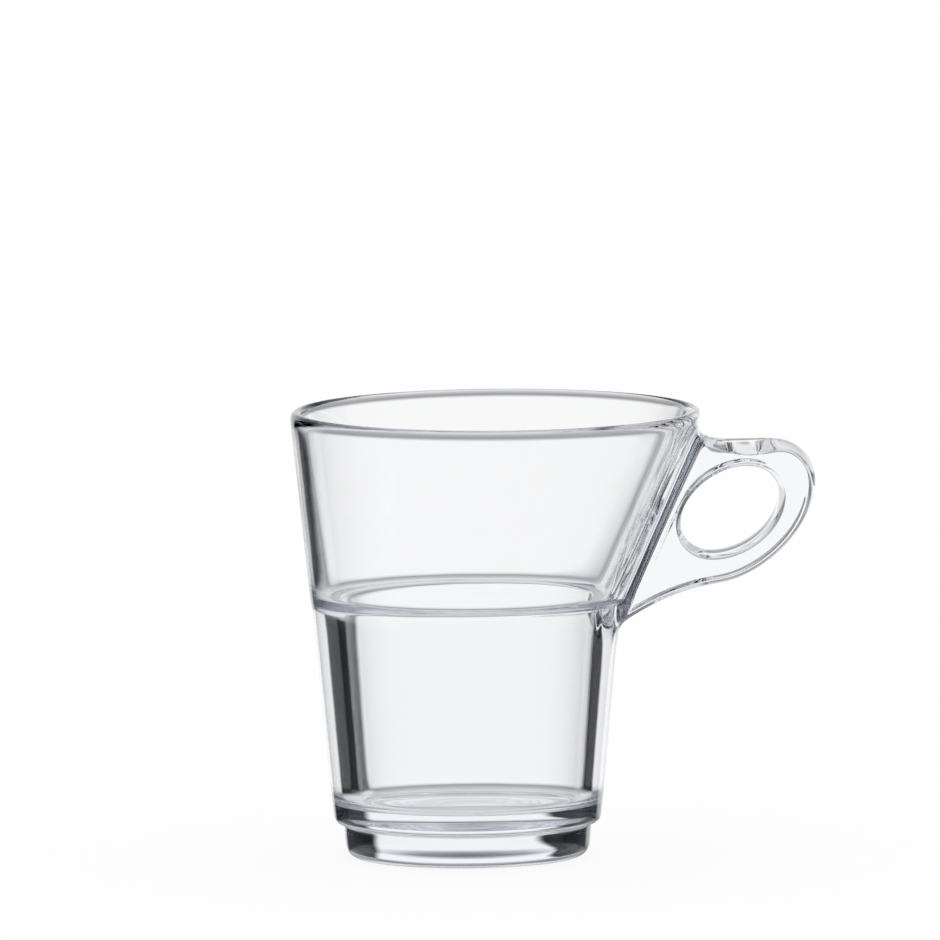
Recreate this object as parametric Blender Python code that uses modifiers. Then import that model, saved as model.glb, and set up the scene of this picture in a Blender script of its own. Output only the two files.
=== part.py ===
"""Pressed-glass coffee cup: a turned bowl with an off-centre flared mouth, and a flat ear with a finger hole.

Metres, +Z up. The origin is on the lower bowl's axis at the table, and the handle points along +X.
"""

import math

import bmesh
import bpy
import numpy as np

# Bowl, outside
HEIGHT = 0.0910
RIM_RADIUS = 0.0419
RIM_LEAN = 0.0064
STEP_HEIGHT = 0.0520
STEP_RADIUS = 0.0314
SHOULDER_RADIUS = 0.0270
FOOT_HEIGHT = 0.0069
FOOT_RADIUS = 0.0251
FOOT_TAPER = 0.0004

# Bowl, inside
RIM_WALL = 0.0025
LEDGE_WALL = 0.0031
LEDGE_HEIGHT = 0.0530
LEDGE_WIDTH = 0.0029
FLOOR_HEIGHT = 0.0107
FLOOR_RADIUS = 0.0226

# Bowl, rounded edges
RIM_OUTER_ROUND = 0.0019
RIM_INNER_ROUND = 0.0009
STEP_ROUND = 0.0100
SHOULDER_ROUND = 0.0018
FOOT_EDGE_ROUND = 0.0027
FLOOR_ROUND = 0.0026
LEDGE_EDGE_ROUND = 0.0010
LEDGE_CORNER_ROUND = 0.0026

# Ear: two tilted ellipses, measured from the lower bowl's axis and the table
EAR_REACH = 0.0552
EAR_HEIGHT = 0.0697
EAR_LONG = 0.0182
EAR_SHORT = 0.0117
EAR_TILT = math.radians(40.4)
HOLE_REACH = 0.0536
HOLE_HEIGHT = 0.0704
HOLE_LONG = 0.0108
HOLE_SHORT = 0.0073
HOLE_TILT = math.radians(32.9)
EAR_THICKNESS = 0.0120
EAR_EDGE_ROUND = 0.0017

# Web under the ear, and the hollows where the ear runs into the bowl
WEB_HEIGHT = 0.0462
WEB_SLOPE = math.radians(7.6)
WEB_BEND = 0.0102
TOP_HOLLOW = 0.0040
WEB_HOLLOW = 0.0055

# Gap between two touching pieces, and how far the ear's hidden root runs into the bowl before it is cut
JOINT_GAP = 0.0003
ROOT_DEPTH = 0.0060

# Share of an edge that an arc may use, where the edge has an arc at both ends and at one end
SHARED_EDGE = 0.48
WHOLE_EDGE = 0.96

SEAM_WELD = 1e-6
AXIS_WELD = 1e-5
SHARP_ANGLE = math.radians(35.0)

TURN_STEPS = 64
EAR_STEPS = 30
HOLE_STEPS = 28
WEB_STEPS = 6
ROUND_STEPS = 4
EDGE_STEPS = 2

GLASS_COLOUR = (0.93, 0.95, 0.96, 1.0)
GLASS_ROUGHNESS = 0.02


def clear_scene():
    for obj in list(bpy.data.objects):
        bpy.data.objects.remove(obj, do_unlink=True)


def new_collection(name, hidden=False):
    collection = bpy.data.collections.new(name)
    collection.hide_render = hidden
    bpy.context.scene.collection.children.link(collection)
    return collection


def glass_material(name):
    material = bpy.data.materials.new(name)
    material.use_nodes = True
    shader = material.node_tree.nodes["Principled BSDF"]
    shader.inputs["Base Color"].default_value = GLASS_COLOUR
    shader.inputs["Roughness"].default_value = GLASS_ROUGHNESS
    shader.inputs["Metallic"].default_value = 0.0
    shader.inputs["Transmission Weight"].default_value = 1.0
    return material


def towards(here, corner):
    """The direction from here to a corner, and how much of that edge an arc may use."""
    edge = np.array(corner[:2]) - here
    length = np.linalg.norm(edge)
    return edge / length, length * (SHARED_EDGE if corner[2] else WHOLE_EDGE)


def rounded(corners):
    """Points along a line of (place, height, radius) corners, with an arc at each corner that has a radius."""
    points = []
    for index, (x, z, radius) in enumerate(corners):
        here = np.array((x, z))
        if radius == 0.0:
            points.append(here)
            continue
        before, room_before = towards(here, corners[index - 1])
        after, room_after = towards(here, corners[index + 1])
        half = 0.5 * math.acos(np.clip(before @ after, -1.0, 1.0))
        setback = min(radius / math.tan(half), room_before, room_after)
        radius = setback * math.tan(half)
        middle = (before + after) / np.linalg.norm(before + after)
        centre = here + middle * radius / math.sin(half)
        across = (after - before) / np.linalg.norm(after - before)
        sweep = math.pi / 2 - half
        for step in range(ROUND_STEPS + 1):
            angle = sweep * (2 * step / ROUND_STEPS - 1)
            points.append(centre + radius * (across * math.sin(angle) - middle * math.cos(angle)))
    return points


def lean(z):
    """How far the level at this height is shifted towards the handle."""
    return RIM_LEAN * max(0.0, z - STEP_HEIGHT) / (HEIGHT - STEP_HEIGHT)


def outer_radius(z):
    """The bowl's radius outside at a height between the foot and the rim."""
    heights = (FOOT_HEIGHT, STEP_HEIGHT, HEIGHT)
    return float(np.interp(z, heights, (SHOULDER_RADIUS, STEP_RADIUS, RIM_RADIUS)))


def wall_place(z):
    """Where the ear's front and back faces meet the bowl's outer wall at this height."""
    return lean(z) + math.sqrt(outer_radius(z) ** 2 - (EAR_THICKNESS / 2) ** 2)


def outside_corners(gap=0.0):
    """The bowl's outside from the rim down to the foot, moved outwards by a gap."""
    return [
        (RIM_RADIUS + gap, HEIGHT + gap, RIM_OUTER_ROUND),
        (STEP_RADIUS + gap, STEP_HEIGHT, STEP_ROUND),
        (SHOULDER_RADIUS + gap, FOOT_HEIGHT - gap, SHOULDER_ROUND),
        (FOOT_RADIUS + gap, FOOT_HEIGHT - gap, 0.0),
        (FOOT_RADIUS - FOOT_TAPER + gap, -gap, FOOT_EDGE_ROUND),
        (0.0, -gap, 0.0),
    ]


def bowl_corners():
    """The bowl's half section, from the middle of its floor up inside, over the rim and down outside."""
    ledge_outer = outer_radius(LEDGE_HEIGHT) - LEDGE_WALL
    inside = [
        (0.0, FLOOR_HEIGHT, 0.0),
        (FLOOR_RADIUS, FLOOR_HEIGHT, FLOOR_ROUND),
        (ledge_outer - LEDGE_WIDTH, LEDGE_HEIGHT, LEDGE_EDGE_ROUND),
        (ledge_outer, LEDGE_HEIGHT, LEDGE_CORNER_ROUND),
        (RIM_RADIUS - RIM_WALL, HEIGHT, RIM_INNER_ROUND),
    ]
    return inside + outside_corners()


def mesh_object(name, mesh, collection):
    obj = bpy.data.objects.new(name, mesh)
    collection.objects.link(obj)
    return obj


def made_mesh(obj, name):
    """The object's evaluated mesh with its seams welded. The object itself is removed."""
    graph = bpy.context.evaluated_depsgraph_get()
    mesh = bpy.data.meshes.new_from_object(obj.evaluated_get(graph))
    mesh.name = name
    work = bmesh.new()
    work.from_mesh(mesh)
    bmesh.ops.remove_doubles(work, verts=work.verts, dist=SEAM_WELD)
    work.to_mesh(mesh)
    work.free()
    bpy.data.objects.remove(obj, do_unlink=True)
    return mesh


def turned(name, corners, collection):
    """A profile turned about the Z axis, with the levels above the step then leant towards the handle."""
    points = rounded(corners)
    profile = bpy.data.meshes.new(name + "_profile")
    vertices = [(x, 0.0, z) for x, z in points]
    profile.from_pydata(vertices, [(i, i + 1) for i in range(len(points) - 1)], [])
    obj = mesh_object(name + "_profile", profile, collection)
    screw = obj.modifiers.new("Turn", "SCREW")
    screw.axis = "Z"
    screw.steps = TURN_STEPS
    screw.render_steps = TURN_STEPS
    screw.use_merge_vertices = True
    screw.merge_threshold = AXIS_WELD
    mesh = made_mesh(obj, name)
    for vertex in mesh.vertices:
        vertex.co.x += lean(vertex.co.z)
    return mesh_object(name, mesh, collection)


def ellipse_point(reach, height, long, short, tilt, angle):
    along, across = long * math.cos(angle), short * math.sin(angle)
    x = reach + along * math.cos(tilt) - across * math.sin(tilt)
    z = height + along * math.sin(tilt) + across * math.cos(tilt)
    return np.array((x, z))


def ear_angle(slope):
    """The angle on the ear's ellipse, on its upper side, where its edge rises at this slope."""
    return math.atan2(EAR_SHORT * math.cos(slope - EAR_TILT), -EAR_LONG * math.sin(slope - EAR_TILT))


def ear_outline():
    """The ear seen from the front: thumb rest, round end, web, and a root that runs into the bowl."""
    ear = (EAR_REACH, EAR_HEIGHT, EAR_LONG, EAR_SHORT, EAR_TILT)
    angles = np.linspace(ear_angle(0.0), ear_angle(WEB_SLOPE) - math.pi, EAR_STEPS)
    end = [ellipse_point(*ear, angle) for angle in angles]
    top = end[0][1]
    web_start = end[-1]
    web_stop = np.array((wall_place(WEB_HEIGHT), WEB_HEIGHT))
    web_bend = web_start - WEB_BEND * np.array((math.cos(WEB_SLOPE), math.sin(WEB_SLOPE)))
    web = []
    for t in np.linspace(0.0, 1.0, WEB_STEPS + 1)[1:-1]:
        web.append((1 - t) ** 2 * web_start + 2 * t * (1 - t) * web_bend + t * t * web_stop)
    low = FOOT_HEIGHT + SHOULDER_ROUND
    high = HEIGHT - RIM_OUTER_ROUND
    foot = rounded([(*web[-1], 0.0), (*web_stop, WEB_HOLLOW), (wall_place(low), low, 0.0)])[:-1]
    head = rounded([(wall_place(high), high, 0.0), (wall_place(top), top, TOP_HOLLOW), (*end[0], 0.0)])[1:-1]
    inwards = np.array((ROOT_DEPTH, 0.0))
    return end + web[:-1] + foot + [foot[-1] - inwards, head[0] - inwards] + head


def hole_outline():
    """The finger hole, at its narrowest, halfway through the ear."""
    hole = (HOLE_REACH, HOLE_HEIGHT, HOLE_LONG, HOLE_SHORT, HOLE_TILT)
    angles = np.linspace(0.0, 2 * math.pi, HOLE_STEPS, endpoint=False)
    return [ellipse_point(*hole, angle) for angle in angles]


def flat_plate(name, outlines, thickness, edge_round, collection):
    """Closed outlines in the XZ plane, filled and made this thick about that plane, with rounded edges."""
    curve = bpy.data.curves.new(name + "_outline", "CURVE")
    curve.dimensions = "2D"
    curve.fill_mode = "BOTH"
    curve.extrude = thickness / 2 - edge_round
    curve.bevel_depth = edge_round
    curve.bevel_resolution = EDGE_STEPS
    curve.offset = -edge_round
    for outline in outlines:
        spline = curve.splines.new("POLY")
        spline.points.add(len(outline) - 1)
        for point, (x, z) in zip(spline.points, outline):
            point.co = (x, z, 0.0, 1.0)
        spline.use_cyclic_u = True
    obj = bpy.data.objects.new(name + "_outline", curve)
    obj.rotation_euler = (math.pi / 2, 0.0, 0.0)
    collection.objects.link(obj)
    bpy.context.view_layer.update()
    place = obj.matrix_world.copy()
    plate = mesh_object(name, made_mesh(obj, name), collection)
    plate.matrix_world = place
    return plate


def cut_away(obj, cutter):
    cutter.hide_render = True
    cutter.display_type = "WIRE"
    boolean = obj.modifiers.new("Cut by " + cutter.name, "BOOLEAN")
    boolean.operation = "DIFFERENCE"
    boolean.solver = "EXACT"
    boolean.object = cutter


def finish(obj, material):
    obj.data.materials.clear()
    obj.data.materials.append(material)
    obj.data.shade_smooth()
    obj.data.set_sharp_from_angle(angle=SHARP_ANGLE)


def make_cup_body(parts):
    body = turned("cup_body", bowl_corners(), parts)
    finish(body, glass_material("body_glass"))


def make_handle(parts, cutters):
    """The ear's plate, cut back from the bowl by the joint gap."""
    outlines = [ear_outline(), hole_outline()]
    handle = flat_plate("handle", outlines, EAR_THICKNESS, EAR_EDGE_ROUND, parts)
    envelope = turned("bowl_envelope", [(0.0, HEIGHT + JOINT_GAP, 0.0)] + outside_corners(JOINT_GAP), cutters)
    cut_away(handle, envelope)
    finish(handle, glass_material("handle_glass"))


def main():
    clear_scene()
    parts = new_collection("glass_coffee_cup")
    cutters = new_collection("cutters", hidden=True)
    make_cup_body(parts)
    make_handle(parts, cutters)


main()
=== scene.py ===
"""Looks of the pressed-glass coffee cup: one closed skin of clear glass for bowl and ear, and a studio.

Metres, +Z up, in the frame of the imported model: the lower bowl's axis is Z and the ear points along +X.
"""

import math

import bmesh
import bpy
import numpy as np
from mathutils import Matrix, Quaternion, Vector


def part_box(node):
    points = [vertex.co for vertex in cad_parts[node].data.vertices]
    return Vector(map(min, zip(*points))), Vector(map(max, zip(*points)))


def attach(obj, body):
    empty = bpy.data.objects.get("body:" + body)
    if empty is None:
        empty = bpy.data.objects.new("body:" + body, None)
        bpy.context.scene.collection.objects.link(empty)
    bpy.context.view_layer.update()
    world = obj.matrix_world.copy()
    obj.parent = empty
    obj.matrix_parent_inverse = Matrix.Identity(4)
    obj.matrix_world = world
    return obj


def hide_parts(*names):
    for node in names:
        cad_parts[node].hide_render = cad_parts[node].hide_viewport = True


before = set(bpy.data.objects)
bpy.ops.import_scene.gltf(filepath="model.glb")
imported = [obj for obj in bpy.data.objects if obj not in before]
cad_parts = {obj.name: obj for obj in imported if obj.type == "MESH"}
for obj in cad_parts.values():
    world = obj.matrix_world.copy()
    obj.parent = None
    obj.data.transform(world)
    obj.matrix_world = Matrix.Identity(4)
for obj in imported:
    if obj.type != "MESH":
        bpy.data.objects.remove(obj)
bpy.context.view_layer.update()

bl_info = {
    "name": "Pressed Glass Coffee Cup",
    "version": (1, 0, 0),
    "blender": (4, 5, 0),
    "location": "View3D > Sidebar > Glass Cup",
    "description": "Models a pressed-glass coffee cup with an ear handle, and a pale studio around it",
    "category": "Object",
}

BOWL_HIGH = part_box("cup_body")[1]
EAR_LOW, EAR_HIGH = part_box("handle")

CUP_NAME = "pressed_glass_cup"
EAR_NAME = "ear_cage"

# Points round the bowl's cage, and on the ear's cage from the web round the end to the thumb rest
BOWL_POINTS = 64
EAR_POINTS = 28
ROUND_STEPS = 3
RIM_STEPS = 3
SHOULDER_STEPS = 5
SMOOTH_LEVELS = 2
OUTLINE_STEPS = 400

# Rows of the ear's root on the bowl above and below the step
ROWS_ABOVE_STEP = 7
ROWS_BELOW_STEP = 3

# The root's columns on the bowl beside the ear's middle plane, as shares of the root's half width
ROOT_COLUMNS = (0.4, 0.75, 1.0)
LAST_COLUMN = len(ROOT_COLUMNS)

# Levels of the ear's section: the edge's middle, its flank, its end, the face's outline and the flat face
FLANK, END, OUTLINE, FLAT = range(1, 5)

# Share of an edge that an arc may use, where the edge has an arc at both ends and at one end
SHARED_EDGE = 0.48
WHOLE_EDGE = 0.96

# How steeply the hollow round the root widens towards the thumb rest
ROOT_WIDENING = 4

# The middles of the floor and the punt, and the punt's bend, as shares of their radius and depth
DISC_SHARE = 1 / 6
PUNT_BEND_RADIUS = 1 / 2
PUNT_BEND_DEPTH = 0.8

SEAM_WELD = 1e-6
TANGENT_STEP = 0.0002

# Where the ripples' noise starts to dull the polish, and where it is dullest
DULL_FROM = 0.45
DULL_TO = 0.75
RIPPLE_DETAIL = 2.0

SENSOR_WIDTH = 36.0
CLIP_END = 100.0

# How often light may turn inside the glass
GLASS_BOUNCES = 32

# Rise in degrees of what the glass shows behind the cup
NEAR_TABLE = -75.0
TABLE = -45.0
EDGE_BELOW_BACKDROP = 4.0
CEILING_ABOVE_BACKDROP = 12.0
CEILING_END = 26.0
BACK_SOFTBOX_LOW = 34.0
BACK_SOFTBOX_HIGH = 60.0
OVERHEAD = 90.0

# Rise in degrees of what the glass shows at the cup's sides and in front
ROOM_NEAR = -65.0
ROOM_TABLE_NEAR = -30.0
ROOM_TABLE_FAR = -16.0
ROOM_EDGE_NEAR = -13.0
ROOM_EDGE_FAR = -9.0
ROOM_LOW = 6.0
ROOM_HIGH = 40.0
FRONT_SOFTBOX_LOW = 54.0
FRONT_SOFTBOX_HIGH = 70.0


def length(name, description, default):
    return bpy.props.FloatProperty(
        name=name, description=description, default=default, precision=5, subtype="DISTANCE", unit="LENGTH"
    )


def turn(name, description, degrees):
    return bpy.props.FloatProperty(
        name=name, description=description, default=math.radians(degrees), subtype="ANGLE", unit="ROTATION"
    )


def number(name, description, default):
    return bpy.props.FloatProperty(name=name, description=description, default=default, precision=4)


def colour(name, description, default):
    return bpy.props.FloatVectorProperty(
        name=name, description=description, default=default, size=3, min=0.0, max=1.0, subtype="COLOR"
    )


class BowlSizes(bpy.types.PropertyGroup):
    height: length("Height", "Table to the top of the rim", BOWL_HIGH.z)
    rim_radius: length("Rim radius", "Radius where the outer wall's line meets the rim's level", 0.0419)
    rim_lean: length("Rim lean", "How far the rim's middle is shifted towards the ear", 0.0064)
    step_height: length("Step height", "Height of the bend in the outer wall", 0.0520)
    step_radius: length("Step radius", "Outer radius just below the bend", 0.0312)
    step_lip: length("Step lip", "How far the wall stands out just above the bend", 0.0005)
    shoulder_radius: length("Shoulder radius", "Radius of the lower wall's line at the foot's top", 0.0270)
    foot_height: length("Foot height", "Height of the shoulder's underside", 0.00685)
    foot_radius: length("Foot radius", "Radius of the foot at its top", 0.0251)
    foot_taper: length("Foot taper", "How much narrower the foot is at the table", 0.0004)
    punt_radius: length("Punt radius", "Radius of the hollow under the foot", 0.0145)
    punt_depth: length("Punt depth", "Depth of the hollow under the foot", 0.0015)
    rim_wall: length("Rim wall", "Wall thickness at the rim", 0.0025)
    ledge_wall: length("Ledge wall", "Wall thickness just above the inner ledge", 0.0032)
    ledge_height: length("Ledge height", "Height of the inner ledge", 0.0530)
    ledge_width: length("Ledge width", "Width of the inner ledge", 0.0029)
    floor_height: length("Floor height", "Height of the floor inside", 0.0109)
    floor_radius: length("Floor radius", "Inner radius at the floor", 0.0226)
    hollow_shift: length("Hollow shift", "How far the lower hollow's axis is shifted towards the ear", 0.0005)
    rim_outer_round: length("Rim outer round", "How far down the rim's outer edge is rounded", 0.0021)
    rim_inner_round: length("Rim inner round", "Radius of the rim's inner edge", 0.0011)
    step_crease: length("Step crease", "How far the outer bend is softened", 0.0008)
    shoulder_round: length("Shoulder round", "Radius of the shoulder above the foot", 0.0019)
    foot_inner_round: length("Foot inner round", "Radius of the hollow between shoulder and foot", 0.0004)
    foot_edge_round: length("Foot edge round", "Radius of the foot's lower edge", 0.0027)
    floor_round: length("Floor round", "Radius between floor and wall inside", 0.0026)
    ledge_edge_round: length("Ledge edge round", "Radius of the ledge's inner edge", 0.0010)
    ledge_corner_round: length("Ledge corner round", "Radius in the ledge's corner", 0.0025)
    ring_spacing: length("Ring spacing", "Widest distance between two rings of the cage", 0.0090)


class EarSizes(bpy.types.PropertyGroup):
    thickness: length("Thickness", "Thickness of the ear", EAR_HIGH.y - EAR_LOW.y)
    reach: length("Reach", "Bowl's axis to the middle of the ear's ellipse", 0.05525)
    height: length("Height", "Table to the middle of the ear's ellipse", 0.0697)
    long: length("Long half", "Longer half axis of the ear's ellipse", 0.0182)
    short: length("Short half", "Shorter half axis of the ear's ellipse", 0.0117)
    tilt: turn("Tilt", "Tilt of the ear's ellipse", 40.4)
    hole_reach: length("Hole reach", "Bowl's axis to the middle of the finger hole", 0.0536)
    hole_height: length("Hole height", "Table to the middle of the finger hole", 0.0704)
    hole_long: length("Hole long half", "Longer half axis of the finger hole", 0.01085)
    hole_short: length("Hole short half", "Shorter half axis of the finger hole", 0.0073)
    hole_tilt: turn("Hole tilt", "Tilt of the finger hole", 32.9)
    web_height: length("Web height", "Height where the web's lower edge would meet the bowl", 0.0462)
    web_slope: turn("Web slope", "Slope of the web where it leaves the ear's ellipse", 7.6)
    web_bend: length("Web bend", "Distance from there to the web's bend", 0.0102)
    root_top: length("Root top", "Height of the root's upper edge on the bowl", 0.0884)
    root_bottom: length("Root bottom", "Height of the root's lower edge on the bowl", 0.0440)
    root_half: length("Root half width", "Half of the root's width on the bowl", 0.0092)
    root_hollow: length("Root hollow", "How far the ear's faces start from the wall", 0.0017)
    root_reach: length("Root reach", "How far the hollow round the root reaches along the faces", 0.0037)
    top_hollow: length("Top hollow", "How far the thumb rest starts from the wall", 0.0024)
    top_lift: length("Top lift", "How far the hollow at the thumb rest rises there", 0.0009)
    top_reach: length("Top reach", "How far the hollow at the thumb rest reaches along its edge", 0.0062)
    web_hollow: length("Web hollow", "How far the web's lower edge starts from the wall", 0.0014)
    web_reach: length("Web reach", "How far the hollow under the web reaches along its edge", 0.0034)
    edge_swell: length("Edge swell", "How far the ear's edge swells out between the faces", 0.0016)
    web_swell: length("Web swell", "How far the web's edge swells out between the faces", 0.0012)
    hole_swell: length("Hole swell", "How far the finger hole's edge swells out between the faces", 0.0012)
    edge_crease: length("Edge crease", "How far the line between edge and face is softened", 0.0005)
    rest_dip: length("Thumb rest dip", "How much deeper the edges are rounded at the thumb rest", 0.0011)
    rest_reach: length("Thumb rest reach", "Bowl's axis to the middle of the thumb rest", 0.0578)
    rest_half: length("Thumb rest half", "Half length of the thumb rest", 0.0085)


class GlassLook(bpy.types.PropertyGroup):
    tint: colour("Tint", "Colour of light that passes the glass's surface", (0.997, 0.998, 1.0))
    index: number("Refraction", "Index of refraction", 1.5)
    depth_tint: colour("Depth tint", "Colour that the glass takes on in thick places", (0.79, 0.82, 0.90))
    depth_density: number("Depth density", "How fast thick glass takes on its tint", 9.0)
    smooth_low: number("Lowest roughness", "Roughness of the fire-polished glass", 0.0)
    smooth_high: number("Highest roughness", "Roughness of the dullest places", 0.008)
    ripple_scale: number("Ripple scale", "Ripples of the pressed surface for each metre", 70.0)
    ripple_depth: length("Ripple depth", "Depth of the ripples", 0.00002)


class StageLook(bpy.types.PropertyGroup):
    floor: colour("Floor", "Colour of the floor", (0.94, 0.94, 0.945))
    floor_size: length("Floor size", "Side of the floor", 14.0)
    floor_glow: number("Floor glow", "Share of the floor that shows the white backdrop's light", 0.9)
    backdrop: colour("Backdrop", "Colour of the studio behind the cup", (1.0, 1.0, 1.0))
    shade: colour("Shade", "Colour of what the glass shows besides the backdrop", (0.89, 0.92, 1.0))
    backdrop_left: turn("Backdrop left", "Where the backdrop ends on the left of the cup's back", -23.0)
    backdrop_right: turn("Backdrop right", "Where the backdrop ends on the right of the cup's back", 39.5)
    backdrop_fade: turn("Backdrop fade", "Width of the backdrop's soft edges", 6.0)
    backdrop_low: turn("Backdrop low", "How much the backdrop's edges draw in below the horizon", 32.0)
    backdrop_high: turn("Backdrop high", "How much the backdrop's left edge spreads above the horizon", 50.0)
    backdrop_foot: turn("Backdrop foot", "Rise of the backdrop's lower end", -9.5)
    backdrop_top: turn("Backdrop top", "Rise of the backdrop's upper end", 9.0)
    table: number("Table", "Brightness of the table behind the cup", 0.85)
    table_near: number("Near table", "Brightness of the table close to the cup", 0.3)
    table_edge: number("Table edge", "Brightness of the table's far edge", 0.35)
    ceiling: number("Ceiling", "Brightness of the ceiling behind the cup", 0.2)
    overhead: number("Overhead", "Brightness straight above the cup", 0.1)
    softbox_back: number("Softbox behind", "Brightness of the softbox's side behind the cup", 0.9)
    softbox_front: number("Softbox in front", "Brightness of the softbox's side in front of the cup", 0.95)
    room_low: number("Low room", "Brightness of the table round the cup, seen steeply", 0.7)
    room_table: number("Room table", "Brightness of the table further round the cup", 0.8)
    room_edge: number("Room edge", "Brightness of the table's far end round the cup", 0.35)
    room: number("Room", "Brightness of the room above the table", 0.3)
    cards_foot: turn("Cards foot", "Rise of the dark cards' lower end", -12.0)
    cards_top: turn("Cards top", "Rise of the dark cards' upper end", 18.0)
    cards_soften: turn("Cards soften", "Height over which the dark cards end", 1.0)
    cards_left: turn("Cards left", "Where the left dark card ends", -80.0)
    cards_right: turn("Cards right", "Where the right dark card ends", 84.0)
    cards_fade: turn("Cards fade", "Width of the dark cards' soft ends", 13.0)
    soft: colour("Soft light", "Colour of the even light on the floor", (0.98, 0.98, 0.985))
    lamp_power: number("Lamp power", "Power of the softbox in watts", 0.3)
    lamp_size: length("Lamp size", "Side of the softbox", 0.30)
    lamp_turn: turn("Lamp turn", "Where the softbox hangs, from the cup's back", 12.0)
    lamp_rise: turn("Lamp rise", "The softbox's angle above the table", 54.0)
    lamp_reach: length("Lamp reach", "Cup to the softbox", 0.9)
    camera_distance: length("Camera distance", "Camera to the cup", 5.0)
    camera_turn: turn("Camera turn", "How far the camera stands to the right of the cup's front", -2.5)
    camera_rise: turn("Camera rise", "Camera's angle above the table", 6.2)
    camera_roll: turn("Camera roll", "Camera's turn about its view", -0.47)
    view_width: length("View width", "Width of the picture at the cup", 0.19044)
    aim_reach: length("Aim reach", "Bowl's axis to the middle of the picture", 0.00103)
    aim_height: length("Aim height", "Table to the middle of the picture", 0.0787)


# Modelling helpers


def clear_selection():
    if bpy.context.mode != "OBJECT":
        bpy.ops.object.mode_set(mode="OBJECT")
    bpy.ops.object.select_all(action="DESELECT")


def activate(obj):
    clear_selection()
    obj.select_set(True)
    bpy.context.view_layer.objects.active = obj


def edit(obj):
    activate(obj)
    bpy.ops.object.mode_set(mode="EDIT")
    bpy.ops.mesh.select_mode(type="EDGE")


def nearest(places, point):
    """The index of the place that is nearest to a point."""
    return int(np.argmin(np.sum((places - np.array(point)) ** 2, axis=1)))


def start_loop(name, places, fill):
    """A circle whose points are put on the given places, left in edit mode with its edge selected."""
    clear_selection()
    bpy.ops.mesh.primitive_circle_add(
        vertices=len(places), radius=1.0, fill_type=fill, location=(0.0, 0.0, 0.0)
    )
    obj = bpy.context.object
    obj.name = name
    edit(obj)
    bpy.ops.mesh.select_all(action="SELECT")
    work = bmesh.from_edit_mesh(obj.data)
    for vertex, place in zip(work.verts, places):
        vertex.co = place
    bmesh.update_edit_mesh(obj.data)
    return obj


def extrude_to(obj, here, there):
    """Extrudes the selected edges, which lie on some places, to the next places."""
    bpy.ops.mesh.extrude_edges_move()
    work = bmesh.from_edit_mesh(obj.data)
    for vertex in work.verts:
        if vertex.select:
            vertex.co = there[nearest(here, vertex.co)]
    bmesh.update_edit_mesh(obj.data)


def delete_at(obj, places):
    """Deletes the points at some places, with their faces, and selects the open edge that is left."""
    bpy.ops.mesh.select_mode(type="VERT")
    bpy.ops.mesh.select_all(action="DESELECT")
    work = bmesh.from_edit_mesh(obj.data)
    found = np.array([vertex.co[:] for vertex in work.verts])
    work.verts.ensure_lookup_table()
    for place in places:
        work.verts[nearest(found, place)].select_set(True)
    bmesh.update_edit_mesh(obj.data)
    bpy.ops.mesh.delete(type="VERT")
    bpy.ops.mesh.select_mode(type="EDGE")
    bpy.ops.mesh.select_non_manifold(
        extend=False,
        use_wire=False,
        use_boundary=True,
        use_multi_face=False,
        use_non_contiguous=False,
        use_verts=False,
    )


def weld_all():
    bpy.ops.mesh.select_all(action="SELECT")
    bpy.ops.mesh.remove_doubles(threshold=SEAM_WELD)
    bpy.ops.mesh.normals_make_consistent(inside=False)


def through(points):
    """Cage points round a closed loop whose smoothed curve passes the given points."""
    before = np.roll(points, 1, axis=0)
    after = np.roll(points, -1, axis=0)
    return points - (before - 2 * points + after) / 6


# Bowl


def towards(here, corner):
    """The direction from here to a corner, and how much of that edge an arc may use."""
    edge = np.array(corner[:2]) - here
    size = np.linalg.norm(edge)
    return edge / size, size * (SHARED_EDGE if corner[2] else WHOLE_EDGE)


def rounded(corners):
    """Points along a line of (place, height, radius) corners, with an arc where there is a radius."""
    points = []
    for index, (x, z, radius) in enumerate(corners):
        here = np.array((x, z))
        if radius == 0.0:
            points.append(here)
            continue
        before, room_before = towards(here, corners[index - 1])
        after, room_after = towards(here, corners[index + 1])
        half = 0.5 * math.acos(np.clip(before @ after, -1.0, 1.0))
        setback = min(radius / math.tan(half), room_before, room_after)
        radius = setback * math.tan(half)
        middle = (before + after) / np.linalg.norm(before + after)
        centre = here + middle * radius / math.sin(half)
        across = (after - before) / np.linalg.norm(after - before)
        sweep = math.pi / 2 - half
        for step in range(ROUND_STEPS + 1):
            angle = sweep * (2 * step / ROUND_STEPS - 1)
            points.append(centre + radius * (across * math.sin(angle) - middle * math.cos(angle)))
    return points


def curve(start, bend, stop, steps):
    """Points along a curve that leaves its start and reaches its stop in the direction of a bend."""
    t = np.linspace(0.0, 1.0, steps + 1)[:, None]
    return (1 - t) ** 2 * np.array(start) + 2 * t * (1 - t) * np.array(bend) + t * t * np.array(stop)


def lean(bowl, z):
    """How far the level at this height is shifted towards the ear."""
    return bowl.rim_lean * max(0.0, z - bowl.step_height) / (bowl.height - bowl.step_height)


def outer_radius(bowl, z):
    below, above = bowl.step_height - bowl.step_crease, bowl.step_height + bowl.step_crease
    radii = (bowl.shoulder_radius, bowl.step_radius, bowl.step_radius + bowl.step_lip, bowl.rim_radius)
    return float(np.interp(z, (bowl.foot_height, below, above, bowl.height), radii))


def root_rows(bowl, ear):
    """Heights of the rings that cross the ear's root, from the top down."""
    above = np.linspace(ear.root_top, bowl.step_height + bowl.step_crease, ROWS_ABOVE_STEP)
    below = np.linspace(bowl.step_height - bowl.step_crease, ear.root_bottom, ROWS_BELOW_STEP)
    return [*above, bowl.step_height, *below]


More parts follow.
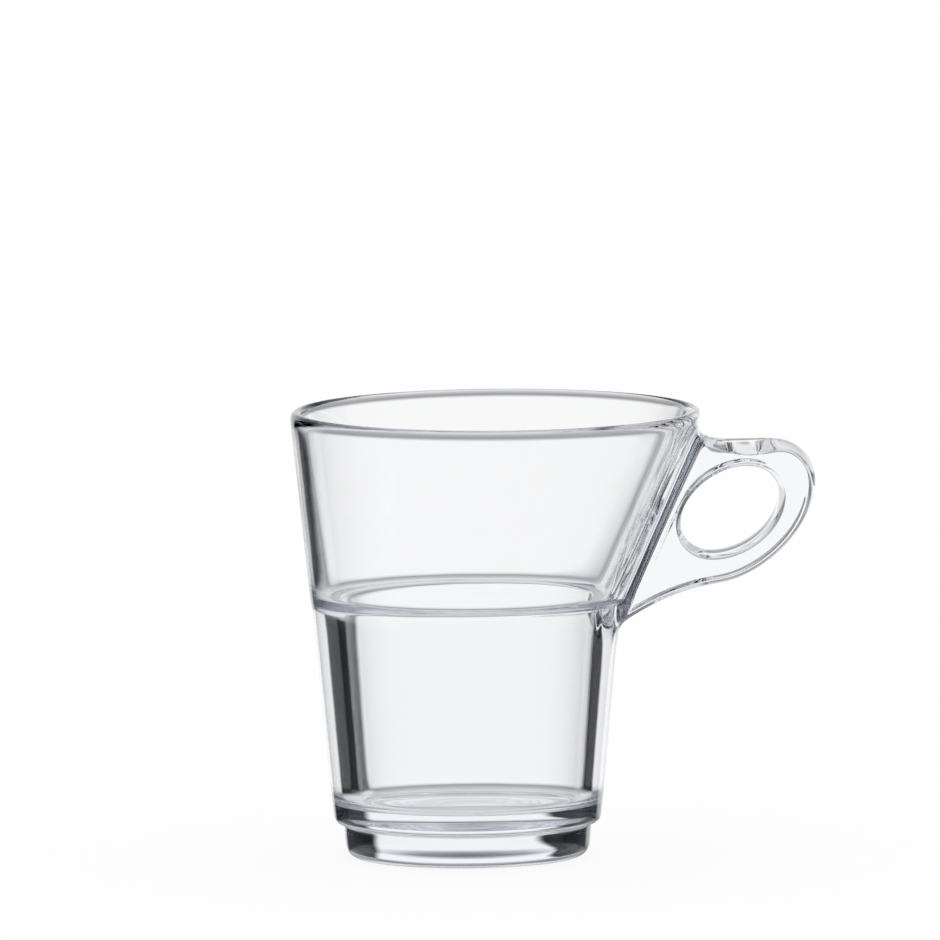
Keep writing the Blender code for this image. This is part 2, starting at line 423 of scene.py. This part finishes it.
def rim_section(bowl, ledge_outer):
    """The rim's section from the inner wall over the top to the outer wall."""
    inner = bowl.rim_radius - bowl.rim_wall
    inner_low = bowl.height - bowl.rim_inner_round
    outer_low = bowl.height - bowl.rim_outer_round
    start = (np.interp(inner_low, (bowl.ledge_height, bowl.height), (ledge_outer, inner)), inner_low)
    top = (inner + bowl.rim_inner_round, bowl.height)
    stop = (outer_radius(bowl, outer_low), outer_low)
    inside = curve(start, (inner, bowl.height), top, RIM_STEPS)
    return [*inside[:-1], *curve(top, (bowl.rim_radius, bowl.height), stop, RIM_STEPS)]


def shoulder_section(bowl):
    """The shoulder's arc from where it leaves the lower wall to the foot."""
    radius = bowl.shoulder_round
    z = bowl.foot_height + radius
    tilt = math.atan2(bowl.step_radius - bowl.shoulder_radius, bowl.step_height - bowl.foot_height)
    x = outer_radius(bowl, z - radius * math.sin(tilt)) - radius * math.cos(tilt)
    stop = math.acos((bowl.foot_radius + bowl.foot_inner_round - x) / radius)
    angles = np.linspace(tilt, stop, SHOULDER_STEPS + 1)
    return np.column_stack((x + radius * np.cos(angles), z - radius * np.sin(angles)))


def bowl_section(bowl, ear):
    """Radius and height of each ring, from the floor up inside, over the rim and down to the punt."""
    ledge_outer = outer_radius(bowl, bowl.ledge_height) - bowl.ledge_wall
    corners = [
        (bowl.floor_radius * DISC_SHARE, bowl.floor_height, 0.0),
        (bowl.floor_radius, bowl.floor_height, bowl.floor_round),
        (ledge_outer - bowl.ledge_width, bowl.ledge_height, bowl.ledge_edge_round),
        (ledge_outer, bowl.ledge_height, bowl.ledge_corner_round),
    ]
    corners += [(x, z, 0.0) for x, z in rim_section(bowl, ledge_outer)]
    corners += [(outer_radius(bowl, z), z, 0.0) for z in root_rows(bowl, ear)]
    shoulder = shoulder_section(bowl)
    corners += [(x, z, 0.0) for x, z in shoulder]
    corners += [
        (bowl.foot_radius, shoulder[-1][1], bowl.foot_inner_round),
        (bowl.foot_radius - bowl.foot_taper, 0.0, bowl.foot_edge_round),
        (bowl.punt_radius, 0.0, 0.0),
        (bowl.punt_radius * PUNT_BEND_RADIUS, bowl.punt_depth * PUNT_BEND_DEPTH, 0.0),
        (bowl.punt_radius * DISC_SHARE, bowl.punt_depth, 0.0),
    ]
    points = rounded(corners)
    section = [points[0]]
    for point in points[1:]:
        gap = point - section[-1]
        parts = math.ceil(np.linalg.norm(gap) / bowl.ring_spacing)
        start = section[-1]
        section += [start + gap * part / parts for part in range(1, parts + 1)]
    return section


def column_angles(radius, sides=()):
    """Angles of a ring's points. Points next to the ear's middle are moved to the given distances from it."""
    angles = np.arange(BOWL_POINTS) * 2 * math.pi / BOWL_POINTS
    for column, side in enumerate(sides, start=1):
        angles[column] = math.asin(side / radius)
        angles[-column] = -angles[column]
    return angles


def ring(bowl, ear, radius, z):
    """Points of one ring. Between the ear's root rows the outer wall's points keep the root's width."""
    at_root = ear.root_bottom - SEAM_WELD < z < ear.root_top + SEAM_WELD
    outside = radius > outer_radius(bowl, z) - SEAM_WELD
    sides = [ear.root_half * share for share in ROOT_COLUMNS] if at_root and outside else ()
    angles = column_angles(radius, sides)
    size = radius / (2 / 3 + math.cos(2 * math.pi / BOWL_POINTS) / 3)
    hollow = bowl.floor_height - SEAM_WELD < z < bowl.ledge_height
    shifted = hollow and radius < bowl.foot_radius + bowl.hollow_shift
    x = lean(bowl, z) + (bowl.hollow_shift if shifted else 0.0) + size * np.cos(angles)
    return np.column_stack((x, size * np.sin(angles), np.full(BOWL_POINTS, z)))


def make_bowl(bowl, ear):
    """The bowl's cage, a floor disc whose edge is extruded ring by ring and closed under the foot."""
    rings = [ring(bowl, ear, radius, z) for radius, z in bowl_section(bowl, ear)]
    obj = start_loop(CUP_NAME, rings[0], "NGON")
    for here, there in zip(rings, rings[1:]):
        extrude_to(obj, here, there)
    bpy.ops.mesh.edge_face_add()
    weld_all()
    bpy.ops.object.mode_set(mode="OBJECT")


# Ear


def wall_place(bowl, ear, z):
    """Where the ear's front and back faces meet the bowl's outer wall at this height."""
    return lean(bowl, z) + math.sqrt(outer_radius(bowl, z) ** 2 - (ear.thickness / 2) ** 2)


def ellipse_points(reach, height, long, short, tilt, angles):
    along, across = long * np.cos(angles), short * np.sin(angles)
    x = reach + along * math.cos(tilt) - across * math.sin(tilt)
    z = height + along * math.sin(tilt) + across * math.cos(tilt)
    return np.column_stack((x, z))


def ear_angle(ear, slope):
    """The angle on the ear's ellipse, on its upper side, where its edge rises at this slope."""
    return math.atan2(ear.short * math.cos(slope - ear.tilt), -ear.long * math.sin(slope - ear.tilt))


def along_line(points, distance):
    """The point of a line of points at a distance from its start."""
    lengths = np.concatenate(([0.0], np.cumsum(np.linalg.norm(np.diff(points, axis=0), axis=1))))
    return np.array([np.interp(distance, lengths, points[:, axis]) for axis in range(2)])


def line_length(points):
    return float(np.sum(np.linalg.norm(np.diff(points, axis=0), axis=1)))


def ear_line(bowl, ear):
    """The ear's outer edge from the bowl along the web, round the end and back along the thumb rest."""
    angles = np.linspace(ear_angle(ear, ear.web_slope) - math.pi, ear_angle(ear, 0.0), OUTLINE_STEPS)
    end = ellipse_points(ear.reach, ear.height, ear.long, ear.short, ear.tilt, angles)
    web_stop = np.array((wall_place(bowl, ear, ear.web_height), ear.web_height))
    web_bend = end[0] - ear.web_bend * np.array((math.cos(ear.web_slope), math.sin(ear.web_slope)))
    web = curve(web_stop, web_bend, end[0], OUTLINE_STEPS)
    top = end[-1][1]
    return np.vstack((web[:-1], end, (wall_place(bowl, ear, top), top)))


def inward(points, distance):
    """The unit direction into the ear at a distance along its outer edge."""
    tangent = along_line(points, distance + TANGENT_STEP) - along_line(points, distance - TANGENT_STEP)
    return np.array((-tangent[1], tangent[0])) / np.linalg.norm(tangent)


class EarShape:
    """Where the points of the ear's cage lie."""

    def __init__(self, bowl, ear):
        self.bowl, self.ear = bowl, ear
        self.rows = root_rows(bowl, ear)
        self.last = len(self.rows) - 1
        self.count = self.last + EAR_POINTS
        self.line = ear_line(bowl, ear)
        self.whole = line_length(self.line)
        half = ear.thickness / 2
        # Distance of each level from the middle plane
        self.sides = (0.0, half / 2, half - ear.edge_crease, half, half)
        self.outer = self.outer_places()
        self.hole, self.hole_out = self.hole_places()

    def rest(self, x):
        """How much of the thumb rest's dip there is at a distance from the bowl's axis."""
        away = (x - self.ear.rest_reach) / self.ear.rest_half
        return self.ear.rest_dip * max(0.0, 1.0 - away * away) ** 2

    def inset(self, level, swell):
        """How far a level lies inside the middle of an edge that swells out between the faces."""
        if level == FLAT:
            return swell + self.ear.edge_crease
        away = self.sides[level] / self.sides[OUTLINE]
        # The cage stands out where the smoothing pulls it in
        return swell * (away * away - (1 / 12 if level < END else 0.0))

    def edge_place(self, distance, level):
        """A place on the outer edge, inset for one level of its section."""
        ear = self.ear
        place = along_line(self.line, distance)
        into = inward(self.line, distance)
        up = np.clip((place[1] - ear.height) / ear.short + 0.5, 0.0, 1.0)
        swell = ear.web_swell + (ear.edge_swell - ear.web_swell) * up * up * (3 - 2 * up)
        if place[1] > ear.height:
            swell += self.rest(place[0])
        return place + into * self.inset(level, swell)

    def outer_places(self):
        """For each level, the places along the outer edge from the web's end of the root to its top end."""
        ear = self.ear
        distances = np.linspace(ear.web_reach, self.whole - ear.top_reach, EAR_POINTS + 1)
        levels = []
        for level in range(FLAT + 1):
            places = np.array([self.edge_place(distance, level) for distance in distances])
            levels.append(np.vstack((places[:1], through(places)[1:-1], places[-1:])))
        return levels

    def hole_places(self):
        """The finger hole's points, in step with the outer edge's, and the directions into the glass."""
        ear = self.ear
        middle = np.array((ear.hole_reach, ear.hole_height))
        low = self.outer[0][0] - middle
        high = self.outer[0][-1] - middle
        low_turn = math.atan2(low[1], low[0]) - ear.hole_tilt
        high_turn = math.atan2(high[1], high[0]) - ear.hole_tilt
        root = np.linspace(high_turn, low_turn % (2 * math.pi), self.last + 1)[:-1]
        end = np.linspace(low_turn % (2 * math.pi), high_turn + 2 * math.pi, EAR_POINTS + 1)[:-1]
        turns = np.concatenate((root, end))
        angles = np.arctan2(ear.hole_long * np.sin(turns), ear.hole_short * np.cos(turns))
        sizes = (ear.hole_reach, ear.hole_height, ear.hole_long, ear.hole_short, ear.hole_tilt)
        points = ellipse_points(*sizes, angles)
        out = ellipse_points(0.0, 0.0, ear.hole_short, ear.hole_long, ear.hole_tilt, angles)
        return points, out / np.linalg.norm(out, axis=1)[:, None]

    def root_height(self, row, reach):
        """A row's height on the ear's faces, between the edges of the root there."""
        top = self.root_edge(0, reach, OUTLINE)[1]
        bottom = self.root_edge(self.last, reach, OUTLINE)[1]
        share = (self.rows[row] - self.rows[-1]) / (self.rows[0] - self.rows[-1])
        return bottom + share * (top - bottom)

    def root_edge(self, row, reach, level):
        """A place on the edge at the root's top or bottom row."""
        ear = self.ear
        if row == 0 and reach:
            return self.edge_place(self.whole - ear.top_reach, level)
        if row == 0:
            return self.edge_place(self.whole - ear.top_hollow, level) + np.array((0.0, ear.top_lift))
        return self.edge_place(ear.web_reach if reach else ear.web_hollow, level)

    def root_place(self, row, column, reach):
        """A point round the root, where the hollow starts on the ear, or as far as it reaches."""
        ear = self.ear
        level = abs(column)
        side = math.copysign(self.sides[level], column) if column else 0.0
        if row in (0, self.last):
            x, z = self.root_edge(row, reach, level)
            return (x, side, z)
        z = self.root_height(row, reach)
        top = self.root_edge(0, reach, OUTLINE)
        far = top[0] - wall_place(self.bowl, ear, top[1])
        near = ear.root_reach if reach else ear.root_hollow
        share = (self.rows[row] - self.rows[-1]) / (self.rows[0] - self.rows[-1])
        out = near + (far - near) * share ** ROOT_WIDENING
        return (wall_place(self.bowl, ear, z) + out, side, z)

    def root_keys(self):
        """Row and column of each point round the root's edge."""
        columns = range(-LAST_COLUMN, LAST_COLUMN + 1)
        keys = [(0, column) for column in columns] + [(self.last, column) for column in columns]
        keys += [(row, side) for row in range(1, self.last) for side in (-LAST_COLUMN, LAST_COLUMN)]
        return keys

    def root_loop(self, reach):
        return np.array([self.root_place(row, column, reach) for row, column in self.root_keys()])

    def wall_place(self, row, column):
        z = self.rows[row]
        return ring(self.bowl, self.ear, outer_radius(self.bowl, z), z)[column]

    def wall_loop(self):
        return np.array([self.wall_place(row, column) for row, column in self.root_keys()])

    def window(self):
        """The bowl's points inside the root's edge."""
        columns = range(1 - LAST_COLUMN, LAST_COLUMN)
        return [self.wall_place(row, column) for row in range(1, self.last) for column in columns]

    def lid(self):
        """Points that close the ear's root while its loops are extruded."""
        places = []
        for row in range(1, self.last):
            x, _, z = self.root_place(row, LAST_COLUMN, True)
            places.append((x - self.ear.root_hollow, z))
        return np.array(places)

    def root_side(self):
        """Points on the ear's face as far as the hollow round the root reaches."""
        places = [self.root_place(row, LAST_COLUMN, True) for row in range(1, self.last)]
        return np.array(places)[:, (0, 2)]

    def hole_loop(self, level, front):
        flat = through(self.hole) + self.hole_out * self.inset(level, self.ear.hole_swell)
        return self.placed(flat, self.sides[level], front)

    def edge_loop(self, level, front):
        """One loop round the outer edge, with the root's points, or its lid's, on the bowl's side."""
        if level == FLAT:
            face = self.hole + self.hole_out * self.inset(FLAT, self.ear.hole_swell)
            root = (face[1:self.last] + self.root_side()) / 2
        elif level == OUTLINE:
            root = self.root_side()
        else:
            root = self.lid()
        outer = self.outer[level]
        flat = np.vstack((outer[-1:], root, outer[:-1]))
        return self.placed(flat, self.sides[level], front)

    def placed(self, flat, side, front):
        return np.column_stack((flat[:, 0], np.full(len(flat), -side if front else side), flat[:, 1]))

    def loops(self):
        """All loops of the ear in order, from the hole over the front face and back over the other face."""
        levels = range(FLAT + 1)
        front = [self.hole_loop(level, True) for level in levels]
        front += [self.edge_loop(level, True) for level in reversed(levels)]
        back = [self.edge_loop(level, False) for level in levels[1:]]
        back += [self.hole_loop(level, False) for level in reversed(levels)]
        return front + back


def make_ear(bowl, ear):
    """The ear's cage, the finger hole's edge extruded loop by loop round the ear, open at its root."""
    shape = EarShape(bowl, ear)
    loops = shape.loops()
    obj = start_loop(EAR_NAME, loops[0], "NOTHING")
    for here, there in zip(loops, loops[1:]):
        extrude_to(obj, here, there)
    weld_all()
    lid = shape.lid()
    sides = [way * shape.sides[level] for way in (-1, 1) for level in (FLANK, END)]
    places = [place for side in (0.0, *sides) for place in shape.placed(lid, side, False)]
    delete_at(obj, places)
    bpy.ops.object.mode_set(mode="OBJECT")


# Fusing the two cages


def fuse(bowl, ear):
    """Opens the bowl at the ear's root, extrudes the opening's edge to the ear and welds the two cages."""
    shape = EarShape(bowl, ear)
    cup = bpy.data.objects[CUP_NAME]
    edit(cup)
    delete_at(cup, shape.window())
    extrude_to(cup, shape.wall_loop(), shape.root_loop(False))
    extrude_to(cup, shape.root_loop(False), shape.root_loop(True))
    activate(cup)
    bpy.data.objects[EAR_NAME].select_set(True)
    bpy.ops.object.join()
    edit(cup)
    weld_all()
    work = bmesh.from_edit_mesh(cup.data)
    if not all(edge.is_manifold for edge in work.edges):
        raise RuntimeError("The bowl and the ear don't meet all round the root")
    activate(cup)
    smooth = cup.modifiers.new("Smooth", "SUBSURF")
    smooth.levels = SMOOTH_LEVELS
    smooth.render_levels = SMOOTH_LEVELS
    bpy.ops.object.modifier_apply(modifier=smooth.name)
    bpy.ops.object.shade_smooth()
    return cup


# Glass


def glass_material(look):
    material = bpy.data.materials.new("clear_pressed_glass")
    material.use_nodes = True
    nodes, links = material.node_tree.nodes, material.node_tree.links
    shader = nodes["Principled BSDF"]
    shader.inputs["Base Color"].default_value = (*look.tint, 1.0)
    shader.inputs["Transmission Weight"].default_value = 1.0
    shader.inputs["IOR"].default_value = look.index
    places = nodes.new("ShaderNodeTexCoord")
    ripples = nodes.new("ShaderNodeTexNoise")
    ripples.inputs["Scale"].default_value = look.ripple_scale
    ripples.inputs["Detail"].default_value = RIPPLE_DETAIL
    links.new(places.outputs["Object"], ripples.inputs["Vector"])
    bump = nodes.new("ShaderNodeBump")
    bump.inputs["Distance"].default_value = look.ripple_depth
    links.new(ripples.outputs["Fac"], bump.inputs["Height"])
    links.new(bump.outputs["Normal"], shader.inputs["Normal"])
    polish = nodes.new("ShaderNodeMapRange")
    polish.inputs["From Min"].default_value = DULL_FROM
    polish.inputs["From Max"].default_value = DULL_TO
    polish.inputs["To Min"].default_value = look.smooth_low
    polish.inputs["To Max"].default_value = look.smooth_high
    links.new(ripples.outputs["Fac"], polish.inputs["Value"])
    links.new(polish.outputs["Result"], shader.inputs["Roughness"])
    depth = nodes.new("ShaderNodeVolumeAbsorption")
    depth.inputs["Color"].default_value = (*look.depth_tint, 1.0)
    depth.inputs["Density"].default_value = look.depth_density
    links.new(depth.outputs["Volume"], nodes["Material Output"].inputs["Volume"])
    return material


# Stage


def reckon(tree, operation, *values):
    """A math node's result from numbers and other results."""
    node = tree.nodes.new("ShaderNodeMath")
    node.operation = operation
    for socket, value in zip(node.inputs, values):
        if isinstance(value, bpy.types.NodeSocket):
            tree.links.new(value, socket)
        else:
            socket.default_value = value
    return node.outputs["Value"]


def floor_material(look):
    """Pale floor with a share of even light, so that it is nearly white and keeps the cup's shadow."""
    material = bpy.data.materials.new("pale_floor")
    material.use_nodes = True
    tree = material.node_tree
    shader = tree.nodes["Principled BSDF"]
    shader.inputs["Base Color"].default_value = (*look.floor, 1.0)
    shader.inputs["Roughness"].default_value = 1.0
    shader.inputs["Specular IOR Level"].default_value = 0.0
    path = tree.nodes.new("ShaderNodeLightPath")
    glow = tree.nodes.new("ShaderNodeEmission")
    mix = tree.nodes.new("ShaderNodeMixShader")
    share = reckon(tree, "MULTIPLY", path.outputs["Is Camera Ray"], look.floor_glow)
    tree.links.new(share, mix.inputs["Fac"])
    tree.links.new(shader.outputs["BSDF"], mix.inputs[1])
    tree.links.new(glow.outputs["Emission"], mix.inputs[2])
    tree.links.new(mix.outputs["Shader"], tree.nodes["Material Output"].inputs["Surface"])
    return material


def make_floor(look):
    """The floor, which the glass doesn't show, because it shows the studio's lower half instead."""
    clear_selection()
    bpy.ops.mesh.primitive_plane_add(size=look.floor_size, location=(0.0, 0.0, 0.0))
    floor = bpy.context.object
    floor.name = "studio_floor"
    floor.visible_transmission = False
    floor.visible_glossy = False
    floor.data.materials.append(floor_material(look))


def soft_step(tree, value, fade):
    """A step from 0 to 1 where a value passes 0, softened over a fade."""
    node = tree.nodes.new("ShaderNodeMapRange")
    node.interpolation_type = "SMOOTHSTEP"
    node.inputs["From Min"].default_value = -fade / 2
    node.inputs["From Max"].default_value = fade / 2
    tree.links.new(value, node.inputs["Value"])
    return node.outputs["Result"]


def blend(tree, share, first, second):
    """A colour between two, by the second one's share."""
    node = tree.nodes.new("ShaderNodeMix")
    node.data_type = "RGBA"
    node.inputs["A"].default_value = (*first, 1.0)
    node.inputs["B"].default_value = (*second, 1.0)
    tree.links.new(share, node.inputs["Factor"])
    return node.outputs["Result"]


def upward(tree, rise, stops):
    """A value that changes with how far a direction rises, from pairs of rise in degrees and value."""
    node = tree.nodes.new("ShaderNodeValToRGB")
    elements = node.color_ramp.elements
    while len(elements) < len(stops):
        elements.new(0.5)
    for element, (degrees, value) in zip(elements, stops):
        element.position = math.sin(math.radians(degrees)) * 0.5 + 0.5
        element.color = (value, value, value, 1.0)
    tree.links.new(reckon(tree, "MULTIPLY_ADD", rise, 0.5, 0.5), node.inputs["Fac"])
    return node.outputs["Color"]


def between(tree, turned, left, right, fade):
    """A share that is 1 between two turns and falls to 0 past them."""
    from_left = reckon(tree, "SUBTRACT", turned, left)
    from_right = reckon(tree, "SUBTRACT", right, turned)
    return soft_step(tree, reckon(tree, "MINIMUM", from_left, from_right), fade)


def backdrop_share(tree, look, turned, rise):
    """Where the white backdrop stands, narrower below the horizon and wider on its left above it."""
    fall = reckon(tree, "MAXIMUM", reckon(tree, "MULTIPLY", rise, -1.0), 0.0)
    low = reckon(tree, "MULTIPLY", fall, look.backdrop_low)
    high = reckon(tree, "MULTIPLY", reckon(tree, "MAXIMUM", rise, 0.0), look.backdrop_high)
    left = reckon(tree, "SUBTRACT", reckon(tree, "ADD", low, look.backdrop_left), high)
    right = reckon(tree, "SUBTRACT", look.backdrop_right, low)
    return between(tree, turned, left, right, look.backdrop_fade)


def behind(tree, look, rise):
    """Brightness behind the cup: table, its dark far edge, backdrop, ceiling and softbox."""
    foot, top = math.degrees(look.backdrop_foot), math.degrees(look.backdrop_top)
    return upward(tree, rise, (
        (NEAR_TABLE, look.table_near),
        (TABLE, look.table),
        (foot - EDGE_BELOW_BACKDROP, look.table_edge),
        (foot, 1.0),
        (top, 1.0),
        (top + CEILING_ABOVE_BACKDROP, look.ceiling),
        (CEILING_END, look.ceiling),
        (BACK_SOFTBOX_LOW, look.softbox_back),
        (BACK_SOFTBOX_HIGH, look.softbox_back),
        (OVERHEAD, look.overhead),
    ))


def around(tree, look, rise):
    """Brightness at the cup's sides and in front: table, its far end, room and softbox."""
    return upward(tree, rise, (
        (ROOM_NEAR, look.room_low),
        (ROOM_TABLE_NEAR, look.room_table),
        (ROOM_TABLE_FAR, look.room_table),
        (ROOM_EDGE_NEAR, look.room_edge),
        (ROOM_EDGE_FAR, look.room_edge),
        (ROOM_LOW, look.room),
        (ROOM_HIGH, look.room),
        (FRONT_SOFTBOX_LOW, look.softbox_front),
        (FRONT_SOFTBOX_HIGH, look.softbox_front),
        (OVERHEAD, look.overhead),
    ))


def cards(tree, look, turned, rise):
    """Where the dark cards stand at both sides of the backdrop."""
    foot, top = math.degrees(look.cards_foot), math.degrees(look.cards_top)
    soften = math.degrees(look.cards_soften)
    upright = upward(tree, rise, ((foot - soften, 0.0), (foot, 1.0), (top - soften, 1.0), (top, 0.0)))
    sideways = between(tree, turned, look.cards_left, look.cards_right, look.cards_fade)
    return reckon(tree, "MULTIPLY", upright, sideways)


def make_world(look):
    """Even light for the floor. The glass shows a white backdrop between dark cards in a grey studio."""
    world = bpy.data.worlds.new("soft_studio")
    world.use_nodes = True
    tree = world.node_tree
    even = tree.nodes["Background"]
    even.inputs["Color"].default_value = (*look.soft, 1.0)
    places = tree.nodes.new("ShaderNodeTexCoord")
    split = tree.nodes.new("ShaderNodeSeparateXYZ")
    tree.links.new(places.outputs["Generated"], split.inputs["Vector"])
    rise = split.outputs["Z"]
    turned = reckon(tree, "ARCTAN2", split.outputs["X"], split.outputs["Y"])
    clear = reckon(tree, "SUBTRACT", 1.0, cards(tree, look, turned, rise))
    room = reckon(tree, "MULTIPLY", around(tree, look, rise), clear)
    more = reckon(tree, "SUBTRACT", behind(tree, look, rise), room)
    shown = reckon(tree, "MULTIPLY_ADD", more, backdrop_share(tree, look, turned, rise), room)
    seen = tree.nodes.new("ShaderNodeBackground")
    tree.links.new(blend(tree, shown, look.shade, look.backdrop), seen.inputs["Color"])
    tree.links.new(shown, seen.inputs["Strength"])
    path = tree.nodes.new("ShaderNodeLightPath")
    mix = tree.nodes.new("ShaderNodeMixShader")
    tree.links.new(path.outputs["Is Diffuse Ray"], mix.inputs["Fac"])
    tree.links.new(seen.outputs["Background"], mix.inputs[1])
    tree.links.new(even.outputs["Background"], mix.inputs[2])
    tree.links.new(mix.outputs["Shader"], tree.nodes["World Output"].inputs["Surface"])
    bpy.context.scene.world = world


def make_lamp(look):
    """A softbox above and behind the cup for its shadow. The glass shows the studio's own softbox."""
    lamp = bpy.data.lights.new("softbox", "AREA")
    lamp.energy = look.lamp_power
    lamp.size = look.lamp_size
    obj = bpy.data.objects.new("softbox", lamp)
    flat = math.cos(look.lamp_rise)
    sideways, backwards = math.sin(look.lamp_turn) * flat, math.cos(look.lamp_turn) * flat
    away = Vector((sideways, backwards, math.sin(look.lamp_rise)))
    obj.location = away * look.lamp_reach
    obj.rotation_euler = away.to_track_quat("Z", "Y").to_euler()
    obj.visible_glossy = False
    obj.visible_transmission = False
    bpy.context.scene.collection.objects.link(obj)


def make_camera(look):
    camera = bpy.data.cameras.new("photo_camera")
    camera.sensor_width = SENSOR_WIDTH
    camera.lens = camera.sensor_width * look.camera_distance / look.view_width
    camera.clip_end = CLIP_END
    obj = bpy.data.objects.new("photo_camera", camera)
    across, rise = look.camera_turn, look.camera_rise
    back = Vector((math.sin(across) * math.cos(rise), -math.cos(across) * math.cos(rise), math.sin(rise)))
    obj.location = Vector((look.aim_reach, 0.0, look.aim_height)) + back * look.camera_distance
    obj.rotation_mode = "QUATERNION"
    roll = Quaternion((0.0, 0.0, 1.0), look.camera_roll)
    obj.rotation_quaternion = (-back).to_track_quat("-Z", "Y") @ roll
    bpy.context.scene.collection.objects.link(obj)
    bpy.context.scene.camera = obj


# Operators


class GLASSCUP_OT_bowl(bpy.types.Operator):
    """Models the bowl's cage"""

    bl_idname = "glasscup.bowl"
    bl_label = "Bowl"

    def execute(self, context):
        make_bowl(context.scene.cup_bowl, context.scene.cup_ear)
        return {"FINISHED"}


class GLASSCUP_OT_ear(bpy.types.Operator):
    """Models the ear's cage"""

    bl_idname = "glasscup.ear"
    bl_label = "Ear"

    def execute(self, context):
        make_ear(context.scene.cup_bowl, context.scene.cup_ear)
        return {"FINISHED"}


class GLASSCUP_OT_glass(bpy.types.Operator):
    """Fuses bowl and ear into one skin of clear glass"""

    bl_idname = "glasscup.glass"
    bl_label = "Glass"

    def execute(self, context):
        cup = fuse(context.scene.cup_bowl, context.scene.cup_ear)
        cup.data.materials.clear()
        cup.data.materials.append(glass_material(context.scene.cup_glass))
        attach(cup, "root")
        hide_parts("cup_body", "handle")
        return {"FINISHED"}


class GLASSCUP_OT_stage(bpy.types.Operator):
    """Sets up the floor, the light and the camera"""

    bl_idname = "glasscup.stage"
    bl_label = "Stage"

    def execute(self, context):
        look = context.scene.cup_stage
        context.scene.view_settings.view_transform = "Standard"
        context.scene.cycles.max_bounces = GLASS_BOUNCES
        context.scene.cycles.transmission_bounces = GLASS_BOUNCES
        context.scene.cycles.glossy_bounces = GLASS_BOUNCES
        make_floor(look)
        make_world(look)
        make_lamp(look)
        make_camera(look)
        return {"FINISHED"}


class GLASSCUP_PT_panel(bpy.types.Panel):
    """Lists the steps that build the cup"""

    bl_idname = "GLASSCUP_PT_panel"
    bl_label = "Glass Cup"
    bl_space_type = "VIEW_3D"
    bl_region_type = "UI"
    bl_category = "Glass Cup"

    def draw(self, context):
        for step in STEPS:
            self.layout.operator(step.bl_idname)
        for group in GROUPS:
            settings = getattr(context.scene, group)
            for key in settings.__annotations__:
                self.layout.prop(settings, key)


STEPS = (GLASSCUP_OT_bowl, GLASSCUP_OT_ear, GLASSCUP_OT_glass, GLASSCUP_OT_stage)
GROUPS = {"cup_bowl": BowlSizes, "cup_ear": EarSizes, "cup_glass": GlassLook, "cup_stage": StageLook}


def register():
    for kind in (*GROUPS.values(), *STEPS, GLASSCUP_PT_panel):
        bpy.utils.register_class(kind)
    for group, kind in GROUPS.items():
        setattr(bpy.types.Scene, group, bpy.props.PointerProperty(type=kind))


def unregister():
    for group in GROUPS:
        delattr(bpy.types.Scene, group)
    for kind in (GLASSCUP_PT_panel, *STEPS, *GROUPS.values()):
        bpy.utils.unregister_class(kind)


def main():
    register()
    bpy.ops.glasscup.bowl()
    bpy.ops.glasscup.ear()
    bpy.ops.glasscup.glass()
    bpy.ops.glasscup.stage()
    bpy.context.view_layer.update()


if __name__ == "__main__":
    main()
